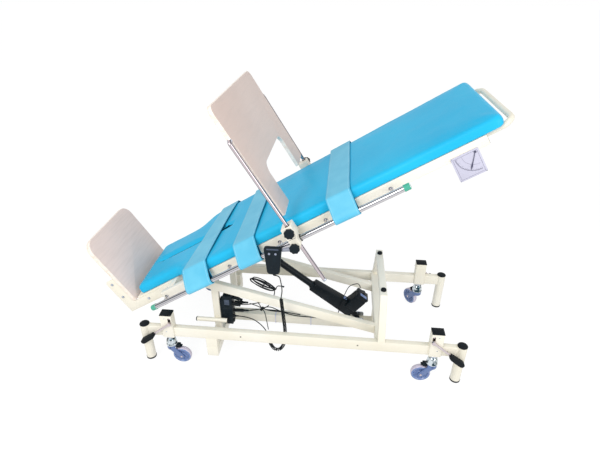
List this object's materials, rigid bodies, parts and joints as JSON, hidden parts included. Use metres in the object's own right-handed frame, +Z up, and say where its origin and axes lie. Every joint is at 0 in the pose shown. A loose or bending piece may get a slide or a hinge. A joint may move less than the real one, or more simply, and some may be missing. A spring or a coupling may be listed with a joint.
{
  "type": "stand-up bed",
  "caption": "Powered tilt table: padded bed on a wheeled base that tips from flat to standing, with footboard, straps, tray and hanging handset.",
  "frame": {"origin": "centre of the footprint at floor level, with the bed at its pictured tilt", "axes": "+X towards the head end, +Y away from the side with the handset, +Z up"},
  "size_m": [1.9344, 0.835, 1.4168],
  "materials": {
    "cream_paint": "satin",
    "chrome": "polished",
    "zinc": "satin",
    "black_rubber": "matte",
    "black_plastic": "satin",
    "grey_button": "satin",
    "black_cord": "satin",
    "blue_vinyl": "satin",
    "strap_vinyl": "satin",
    "laminate_board": "satin laminate",
    "gauge_sheet": "satin",
    "caster_tyre": "gloss"
  },
  "bodies": {
    "base": {"side_frame_near": "cream_paint", "side_frame_far": "cream_paint", "foot_cross_beam": "cream_paint", "head_cross_beam": "cream_paint", "spine_beam": "cream_paint", "support_near": "cream_paint", "support_far": "cream_paint", "rest_portal": "cream_paint", "cable_bar": "cream_paint", "pivot_shaft": "chrome", "actuator_bracket": "zinc", "buffer_near": "black_rubber", "buffer_far": "black_rubber", "control_box": "black_plastic", "handset_cord": "black_cord", "cable_hank": "black_cord", "motor_cable": "black_cord"},
    "bed": {"bed_frame": "cream_paint", "pad": "blue_vinyl", "push_handle": "cream_paint", "side_rail_near": "chrome", "side_rail_far": "chrome", "footboard": "laminate_board", "footboard_carrier": "cream_paint", "gauge_plate": "gauge_sheet", "strap_knee": "strap_vinyl", "strap_hip": "strap_vinyl", "strap_chest": "strap_vinyl"},
    "pointer": {"gauge_pointer": "black_plastic"},
    "tray_carriage": {"clamp_near": "cream_paint", "clamp_far": "cream_paint"},
    "tray": {"tray_board": "laminate_board", "tray_rod_near": "chrome", "tray_rod_far": "chrome"},
    "actuator": {"actuator_body": "black_plastic", "actuator_motor": "black_plastic"},
    "actuator_ram": {"actuator_rod": "chrome"},
    "handset": {"handset": "black_plastic"},
    "button_up": {"button_up": "grey_button"},
    "button_down": {"button_down": "grey_button"},
    "lift_near_foot": {"plunger_near_foot": "chrome"},
    "pedal_near_foot": {"pedal_near_foot": "chrome"},
    "fork_near_foot": {"caster_fork_near_foot": "chrome"},
    "wheel_near_foot": {"wheel_near_foot": "caster_tyre"},
    "lift_near_head": {"plunger_near_head": "chrome"},
    "pedal_near_head": {"pedal_near_head": "chrome"},
    "fork_near_head": {"caster_fork_near_head": "chrome"},
    "wheel_near_head": {"wheel_near_head": "caster_tyre"},
    "lift_far_foot": {"plunger_far_foot": "chrome"},
    "pedal_far_foot": {"pedal_far_foot": "chrome"},
    "fork_far_foot": {"caster_fork_far_foot": "chrome"},
    "wheel_far_foot": {"wheel_far_foot": "caster_tyre"},
    "lift_far_head": {"plunger_far_head": "chrome"},
    "pedal_far_head": {"pedal_far_head": "chrome"},
    "fork_far_head": {"caster_fork_far_head": "chrome"},
    "wheel_far_head": {"wheel_far_head": "caster_tyre"},
    "knob_rod_near": {"knob_rod_near": "black_plastic"},
    "knob_rod_far": {"knob_rod_far": "black_plastic"},
    "knob_rail_near": {"knob_rail_near": "black_plastic"},
    "knob_rail_far": {"knob_rail_far": "black_plastic"}
  },
  "joints": [
    {"name": "pedal_turn_near_foot", "type": "hinge", "parent": "base", "child": "pedal_near_foot", "pos_m": [-0.5327, -0.329, 0.287], "axis": [0, 1, 0], "range_deg": [0, 75.2]},
    {"name": "lift_slide_near_foot", "type": "slide", "parent": "base", "child": "lift_near_foot", "axis": [0, 0, 1], "range_m": [0, 0.018]},
    {"name": "swivel_near_foot", "type": "hinge", "parent": "lift_near_foot", "child": "fork_near_foot", "pos_m": [-0.5517, -0.296, 0.12], "axis": [0, 0, 1], "continuous": true},
    {"name": "wheel_spin_near_foot", "type": "hinge", "parent": "fork_near_foot", "child": "wheel_near_foot", "pos_m": [-0.5027, -0.296, 0.05], "axis": [0, 1, 0], "continuous": true},
    {"name": "pedal_turn_near_head", "type": "hinge", "parent": "base", "child": "pedal_near_head", "pos_m": [0.7953, -0.329, 0.287], "axis": [0, -1, 0], "range_deg": [0, 75.2]},
    {"name": "lift_slide_near_head", "type": "slide", "parent": "base", "child": "lift_near_head", "axis": [0, 0, 1], "range_m": [0, 0.018]},
    {"name": "swivel_near_head", "type": "hinge", "parent": "lift_near_head", "child": "fork_near_head", "pos_m": [0.8143, -0.296, 0.12], "axis": [0, 0, 1], "continuous": true},
    {"name": "wheel_spin_near_head", "type": "hinge", "parent": "fork_near_head", "child": "wheel_near_head", "pos_m": [0.7653, -0.296, 0.05], "axis": [0, -1, 0], "continuous": true},
    {"name": "pedal_turn_far_foot", "type": "hinge", "parent": "base", "child": "pedal_far_foot", "pos_m": [-0.5327, 0.329, 0.287], "axis": [0, 1, 0], "range_deg": [0, 75.2]},
    {"name": "lift_slide_far_foot", "type": "slide", "parent": "base", "child": "lift_far_foot", "axis": [0, 0, 1], "range_m": [0, 0.018]},
    {"name": "swivel_far_foot", "type": "hinge", "parent": "lift_far_foot", "child": "fork_far_foot", "pos_m": [-0.5517, 0.296, 0.12], "axis": [0, 0, 1], "continuous": true},
    {"name": "wheel_spin_far_foot", "type": "hinge", "parent": "fork_far_foot", "child": "wheel_far_foot", "pos_m": [-0.51416, 0.3275, 0.05], "axis": [-0.6428, 0.766, 0], "continuous": true},
    {"name": "pedal_turn_far_head", "type": "hinge", "parent": "base", "child": "pedal_far_head", "pos_m": [0.7953, 0.329, 0.287], "axis": [0, -1, 0], "range_deg": [0, 75.2]},
    {"name": "lift_slide_far_head", "type": "slide", "parent": "base", "child": "lift_far_head", "axis": [0, 0, 1], "range_m": [0, 0.018]},
    {"name": "swivel_far_head", "type": "hinge", "parent": "lift_far_head", "child": "fork_far_head", "pos_m": [0.8143, 0.296, 0.12], "axis": [0, 0, 1], "continuous": true},
    {"name": "wheel_spin_far_head", "type": "hinge", "parent": "fork_far_head", "child": "wheel_far_head", "pos_m": [0.78619, 0.33614, 0.05], "axis": [-0.8192, -0.5736, 0], "continuous": true},
    {"name": "bed_tilt", "type": "hinge", "parent": "base", "child": "bed", "pos_m": [-0.3687, 0, 0.455], "axis": [0, -1, 0], "range_deg": [-31.6, 53.4], "deforming": ["handset_cord"]},
    {"name": "actuator_swing", "type": "hinge", "parent": "base", "child": "actuator", "pos_m": [0.4393, 0, 0.14], "axis": [0, -1, 0], "range_deg": [-3.2, 1.9], "deforming": ["motor_cable"]},
    {"name": "actuator_stroke", "type": "slide", "parent": "actuator", "child": "actuator_ram", "axis": [-0.7877, 0, 0.616], "range_m": [-0.1285, 0.217]},
    {"name": "pointer_swing", "type": "hinge", "parent": "bed", "child": "pointer", "pos_m": [0.80853, -0.3063, 1.25907], "axis": [0, -1, 0], "range_deg": [-53.5, 31.7]},
    {"name": "tray_along_bed", "type": "slide", "parent": "bed", "child": "tray_carriage", "axis": [0.8517, 0, 0.524], "range_m": [-0.01, 0.09]},
    {"name": "tray_height", "type": "slide", "parent": "tray_carriage", "child": "tray", "axis": [-0.524, 0, 0.8517], "range_m": [-0.02, 0.18]},
    {"name": "knob_rod_near_turn", "type": "hinge", "parent": "tray_carriage", "child": "knob_rod_near", "pos_m": [0.10455, -0.3935, 0.91287], "axis": [0, -1, 0], "continuous": true},
    {"name": "knob_rod_far_turn", "type": "hinge", "parent": "tray_carriage", "child": "knob_rod_far", "pos_m": [0.10455, 0.3935, 0.91287], "axis": [0, 1, 0], "continuous": true},
    {"name": "knob_rail_near_turn", "type": "hinge", "parent": "tray_carriage", "child": "knob_rail_near", "pos_m": [0.12695, -0.3935, 0.84211], "axis": [0, -1, 0], "continuous": true},
    {"name": "knob_rail_far_turn", "type": "hinge", "parent": "tray_carriage", "child": "knob_rail_far", "pos_m": [0.12695, 0.3935, 0.84211], "axis": [0, 1, 0], "continuous": true},
    {"name": "handset_lift", "type": "slide", "parent": "bed", "child": "handset", "axis": [0, 0, 1], "range_m": [0, 0.03], "deforming": ["handset_cord"]},
    {"name": "button_up_press", "type": "slide", "parent": "handset", "child": "button_up", "axis": [0, 1, 0], "range_m": [0, 0.0015], "stiffness_N_per_m": 400},
    {"name": "button_down_press", "type": "slide", "parent": "handset", "child": "button_down", "axis": [0, 1, 0], "range_m": [0, 0.0015], "stiffness_N_per_m": 400}
  ],
  "couplings": [
    {"joint": "pedal_turn_near_foot", "follows": "lift_slide_near_foot", "rad_per_m": 72.722},
    {"joint": "pedal_turn_near_head", "follows": "lift_slide_near_head", "rad_per_m": 72.722},
    {"joint": "pedal_turn_far_foot", "follows": "lift_slide_far_foot", "rad_per_m": 72.722},
    {"joint": "pedal_turn_far_head", "follows": "lift_slide_far_head", "rad_per_m": 72.722},
    {"joint": "actuator_swing", "follows": "bed_tilt", "ratio": -0.0574},
    {"joint": "actuator_stroke", "follows": "bed_tilt", "m_per_rad": 0.2323},
    {"joint": "pointer_swing", "follows": "bed_tilt", "ratio": -1}
  ]
}
